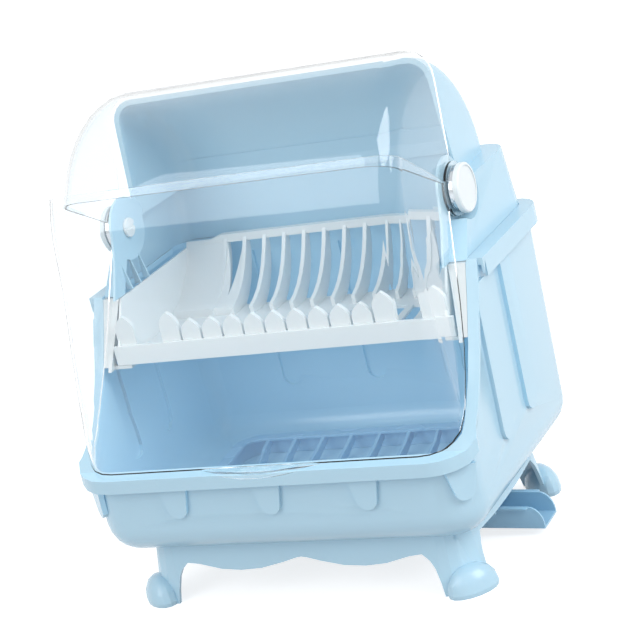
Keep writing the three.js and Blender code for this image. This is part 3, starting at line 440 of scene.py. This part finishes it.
@dataclass
class Finishes:
    """The drainer's finishes, made once."""

    pale_blue: bpy.types.Material = field(init=False)
    deep_blue: bpy.types.Material = field(init=False)
    white: bpy.types.Material = field(init=False)
    clip_white: bpy.types.Material = field(init=False)
    chrome: bpy.types.Material = field(init=False)
    clear: bpy.types.Material = field(init=False)

    def __post_init__(self) -> None:
        """Makes each finish."""
        # The blue plastics get a painted glow on their inner walls, standing in for light through them.
        self.pale_blue = MouldedPlastic("pale_blue_plastic", Shade.PALE_BLUE, 0.24, painted_inner_glow=0.13).make()
        self.deep_blue = MouldedPlastic("deep_blue_plastic", Shade.DEEP_BLUE, 0.26, painted_inner_glow=0.05).make()
        self.white = MouldedPlastic("white_plastic", Shade.WHITE, 0.34).make()
        self.clip_white = MouldedPlastic("clip_white_plastic", Shade.CLIP_WHITE, 0.22).make()
        self.chrome = BrightMetal("chrome_plating").make()
        self.clear = ClearPlastic("clear_plastic").make()


@dataclass
class Moulding:
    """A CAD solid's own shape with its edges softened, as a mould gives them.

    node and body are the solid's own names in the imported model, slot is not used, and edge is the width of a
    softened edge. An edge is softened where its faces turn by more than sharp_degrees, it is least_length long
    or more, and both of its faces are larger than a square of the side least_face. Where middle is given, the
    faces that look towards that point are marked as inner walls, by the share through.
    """

    INNER = "inner"

    frame: dict
    node: str
    body: str
    slot: str
    finish: bpy.types.Material
    edge: float = 0.6 * MM
    segments: int = 2
    # middle and through set where and how strongly the finish paints its glow on the inner walls.
    middle: Point | None = None
    through: float = 1.0
    sharp_degrees: float = 28.0
    flat_degrees: float = 0.8
    merge_distance: float = 0.02 * MM
    sliver_width: float = 0.03 * MM
    least_length: float = 0.5 * MM
    least_face: float = 0.7 * MM

    def mesh(self) -> bpy.types.Mesh:
        """Copies the solid's mesh, merges its loose corners and clears its flat faces of cut lines.

        Returns:
            The merged mesh, with bevel weights on its sharp edges and marks on its inner walls.
        """
        data = self.frame["nodes"][self.node].data.copy()
        data.name = f"{self.node}_moulded"
        work = bmesh.new()
        work.from_mesh(data)
        bmesh.ops.remove_doubles(work, verts=work.verts, dist=self.merge_distance)
        bmesh.ops.dissolve_degenerate(work, dist=self.sliver_width, edges=work.edges)
        bmesh.ops.dissolve_limit(
            work,
            angle_limit=math.radians(self.flat_degrees),
            verts=work.verts,
            edges=work.edges,
            delimit={"NORMAL"},
        )
        self.weigh_edges(work)
        self.mark_inner(work)
        work.to_mesh(data)
        work.free()
        data.materials.clear()
        return data

    def weigh_edges(self, work: bmesh.types.BMesh) -> None:
        """Gives each edge that is to be softened a bevel weight of 1, and the others 0.

        Args:
            work: The mesh in work.
        """
        weights = work.edges.layers.float.new("bevel_weight_edge")
        least_area = self.least_face**2
        for edge in work.edges:
            faces = edge.link_faces
            if len(faces) != 2 or edge.calc_length() < self.least_length:
                continue
            turned = edge.calc_face_angle(0.0) > math.radians(self.sharp_degrees)
            edge[weights] = float(turned and min(face.calc_area() for face in faces) > least_area)

    def mark_inner(self, work: bmesh.types.BMesh) -> None:
        """Marks the faces whose outward normal points towards the middle, which the finish gives a painted
        glow.

        Formula: a face is inner where its normal times the vector from the middle to the face's own middle
        is negative.

        Args:
            work: The mesh in work.
        """
        inner = work.faces.layers.float.new(self.INNER)
        if self.middle is None:
            return
        middle = Vector(self.middle)
        for face in work.faces:
            face[inner] = self.through * (face.normal.dot(face.calc_center_median() - middle) < 0.0)

    def build(self) -> bpy.types.Object:
        """Makes the piece, softens its sharp edges and shades the rest smooth.

        Returns:
            The finished piece, riding on its body.
        """
        data = self.mesh()
        piece = bpy.data.objects.new(f"{self.node}_piece", data)
        bpy.context.scene.collection.objects.link(piece)
        data.materials.append(self.finish)
        data.polygons.foreach_set("use_smooth", np.ones(len(data.polygons), bool))
        bevel = piece.modifiers.new("soft_edges", "BEVEL")
        bevel.width = self.edge
        bevel.segments = self.segments
        bevel.limit_method = "WEIGHT"
        bevel.harden_normals = True
        bevel.use_clamp_overlap = True
        data.set_sharp_from_angle(angle=math.radians(self.sharp_degrees))
        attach(piece, self.body)
        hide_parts(self.node)
        LOG.info("moulding %s rides on %s", self.node, self.body)
        return piece


@dataclass
class Stand:
    """The legged stand and the spout that slides in it."""

    frame: dict
    finishes: Finishes
    stand_edge: float = 0.8 * MM
    spout_edge: float = 0.5 * MM

    def build(self) -> None:
        """Builds the stand and its spout."""
        blue, deep = self.finishes.pale_blue, self.finishes.deep_blue
        Moulding(self.frame, "base_stand", "stand", "pale_blue", blue, self.stand_edge).build()
        Moulding(self.frame, "drain_spout", "spout", "deep_blue", deep, self.spout_edge).build()


@dataclass
class Tub:
    """The tub with the brackets that hold the plate rack."""

    frame: dict
    finishes: Finishes
    tub_edge: float = 0.9 * MM
    bracket_edge: float = 0.6 * MM
    middle: Point = (0.0, 0.0, 0.22)

    def build(self) -> None:
        """Builds the tub and its brackets."""
        blue, clip = self.finishes.pale_blue, self.finishes.clip_white
        Moulding(self.frame, "lower_tub", "tub", "pale_blue", blue, self.tub_edge, middle=self.middle).build()
        for side in SIDES:
            Moulding(self.frame, f"rack_bracket_{side}", "tub", "white", clip, self.bracket_edge).build()


@dataclass
class Racks:
    """The bowl rack in the tub and the plate rack above it."""

    frame: dict
    finishes: Finishes
    edge: float = 0.5 * MM
    middle: Point = (0.0, 0.0, 0.3)

    def build(self) -> None:
        """Builds both racks."""
        deep, white = self.finishes.deep_blue, self.finishes.white
        Moulding(self.frame, "bowl_rack", "bowl_rack", "deep_blue", deep, self.edge, middle=self.middle).build()
        Moulding(self.frame, "plate_rack", "plate_rack", "white", white, self.edge).build()


@dataclass
class Hood:
    """The rear hood with the hinge pieces that carry the lids."""

    frame: dict
    finishes: Finishes
    hood_edge: float = 0.6 * MM
    hinge_edge: float = 0.5 * MM
    ring_edge: float = 0.6 * MM
    ring_segments: int = 3
    middle: Point = (0.0, 0.02, 0.37)
    # Share of the painted glow on the hood's inner walls.
    through: float = 0.3

    def build(self) -> None:
        """Builds the hood and both hinges."""
        blue, white, chrome = self.finishes.pale_blue, self.finishes.white, self.finishes.chrome
        Moulding(
            self.frame,
            "rear_hood",
            "hood",
            "pale_blue",
            blue,
            self.hood_edge,
            middle=self.middle,
            through=self.through,
        ).build()
        for side in SIDES:
            for part in ("bush", "screw", "cap"):
                Moulding(self.frame, f"hinge_{part}_{side}", "hood", "white", white, self.hinge_edge).build()
            Moulding(
                self.frame, f"hinge_ring_{side}", "hood", "chrome", chrome, self.ring_edge, self.ring_segments
            ).build()


@dataclass
class Lids:
    """The two clear lids that turn on the hinges."""

    frame: dict
    finishes: Finishes
    edge: float = 0.4 * MM

    def build(self) -> None:
        """Builds both lids."""
        for name in ("upper_lid", "front_lid"):
            Moulding(self.frame, name, name, "clear", self.finishes.clear, self.edge).build()


@dataclass(frozen=True)
class SoftLamp:
    """A square soft lamp.

    Its place, its side and the point that it looks at are in metres, and its power is in watts.
    """

    name: str
    place: Point
    side: float
    power: float
    aim: Point

    def build(self) -> None:
        """Adds the lamp to the scene."""
        data = bpy.data.lights.new(self.name, "AREA")
        data.shape = "SQUARE"
        data.size = self.side
        data.energy = self.power
        lamp = bpy.data.objects.new(self.name, data)
        bpy.context.scene.collection.objects.link(lamp)
        direction = Vector(self.aim) - Vector(self.place)
        lamp.rotation_mode = "QUATERNION"
        lamp.rotation_quaternion = direction.to_track_quat("-Z", "Y")
        lamp.location = self.place


@dataclass
class Studio:
    """The floor, the soft lamps, the white surround and the camera at the photograph's angle.

    The camera's angles are in degrees, its distance is from the target, and its focal length is in pixels
    of a picture that is as wide as picture says.
    """

    azimuth: float = 27.595
    elevation: float = 17.055
    roll: float = 14.0
    distance: float = 2.140245
    focal_pixels: float = 2108.295
    target: Point = (0.011611, 0.02575, 0.241493)
    picture: int = 640
    sensor: float = 36.0
    sight: float = 200.0
    soft_colour: Colour = (0.93, 0.97, 1.0, 1.0)
    soft_light: float = 0.72
    white_colour: Colour = (1.0, 1.0, 1.0, 1.0)
    white_light: float = 1.0
    floor_reach: float = 40.0
    floor_squares: int = 8
    floor_drop: float = 0.2 * MM
    lamps: tuple[SoftLamp, ...] = (
        SoftLamp("key_lamp", place=(3.2, -0.4, 2.6), side=2.4, power=88.0, aim=(0.0, 0.0, 0.25)),
        SoftLamp("front_lamp", place=(-1.6, -3.6, 2.6), side=3.0, power=60.0, aim=(0.0, 0.0, 0.2)),
    )

    def camera(self) -> None:
        """Places the camera: back points from the target to the camera, and the picture is rolled about it."""
        azimuth, elevation, roll = (math.radians(a) for a in (self.azimuth, self.elevation, self.roll))
        across = math.cos(elevation)
        back = Vector((math.sin(azimuth) * across, -math.cos(azimuth) * across, math.sin(elevation)))
        level = Vector((math.cos(azimuth), math.sin(azimuth), 0.0))
        upright = back.cross(level)
        right = level * math.cos(roll) - upright * math.sin(roll)
        up = level * math.sin(roll) + upright * math.cos(roll)
        data = bpy.data.cameras.new("photo_camera")
        data.sensor_width = self.sensor
        data.sensor_fit = "HORIZONTAL"
        data.lens = self.focal_pixels / self.picture * data.sensor_width
        data.clip_end = self.sight
        camera = bpy.data.objects.new("photo_camera", data)
        bpy.context.scene.collection.objects.link(camera)
        turn = Matrix((right, up, back)).transposed().to_4x4()
        camera.matrix_world = Matrix.Translation(Vector(self.target) + back * self.distance) @ turn
        bpy.context.scene.camera = camera

    def surround(self) -> None:
        """Gives the world a plain soft light that reads as white to the eye, glass and gloss."""
        world = bpy.data.worlds.new("surround")
        bpy.context.scene.world = world
        nodes = Nodes(world)
        soft = nodes.add("ShaderNodeBackground", Color=self.soft_colour, Strength=self.soft_light)
        white = nodes.add("ShaderNodeBackground", Color=self.white_colour, Strength=self.white_light)
        seen = nodes.rays(Ray.CAMERA, Ray.TRANSMISSION, Ray.GLOSSY)
        nodes.end(nodes.choose(seen, soft.outputs[0], white.outputs[0]), "ShaderNodeOutputWorld")

    def floor(self) -> None:
        """Lays a wide floor just under the drainer: level squares between the points of a square grid."""
        steps = np.linspace(-self.floor_reach, self.floor_reach, self.floor_squares + 1)
        x, y = np.meshgrid(steps, steps, indexing="ij")
        points = np.stack([x, y, np.full_like(x, -self.floor_drop)], axis=-1).reshape(-1, 3)
        rows, columns = x.shape
        index = np.arange(rows * columns).reshape(rows, columns)
        corners = [index[:-1, :-1], index[1:, :-1], index[1:, 1:], index[:-1, 1:]]
        faces = np.stack(corners, axis=-1).reshape(-1, 4)
        data = bpy.data.meshes.new("studio_floor")
        data.from_pydata(points.tolist(), [], faces.tolist())
        data.materials.append(StudioFloor().make())
        floor = bpy.data.objects.new("studio_floor", data)
        bpy.context.scene.collection.objects.link(floor)

    def build(self) -> None:
        """Builds the studio."""
        self.camera()
        self.floor()
        self.surround()
        for lamp in self.lamps:
            lamp.build()
        bpy.context.scene.view_settings.view_transform = "Standard"
        LOG.info("studio ready")


def main() -> None:
    """Builds the drainer and its studio in order."""
    logging.basicConfig(level=logging.INFO, format="%(name)s: %(message)s")
    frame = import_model()
    finishes = Finishes()
    for part in (Stand, Tub, Racks, Hood, Lids):
        part(frame, finishes).build()
        LOG.info("%s done", part.__name__)
    Studio().build()


if __name__ == "__main__":
    main()
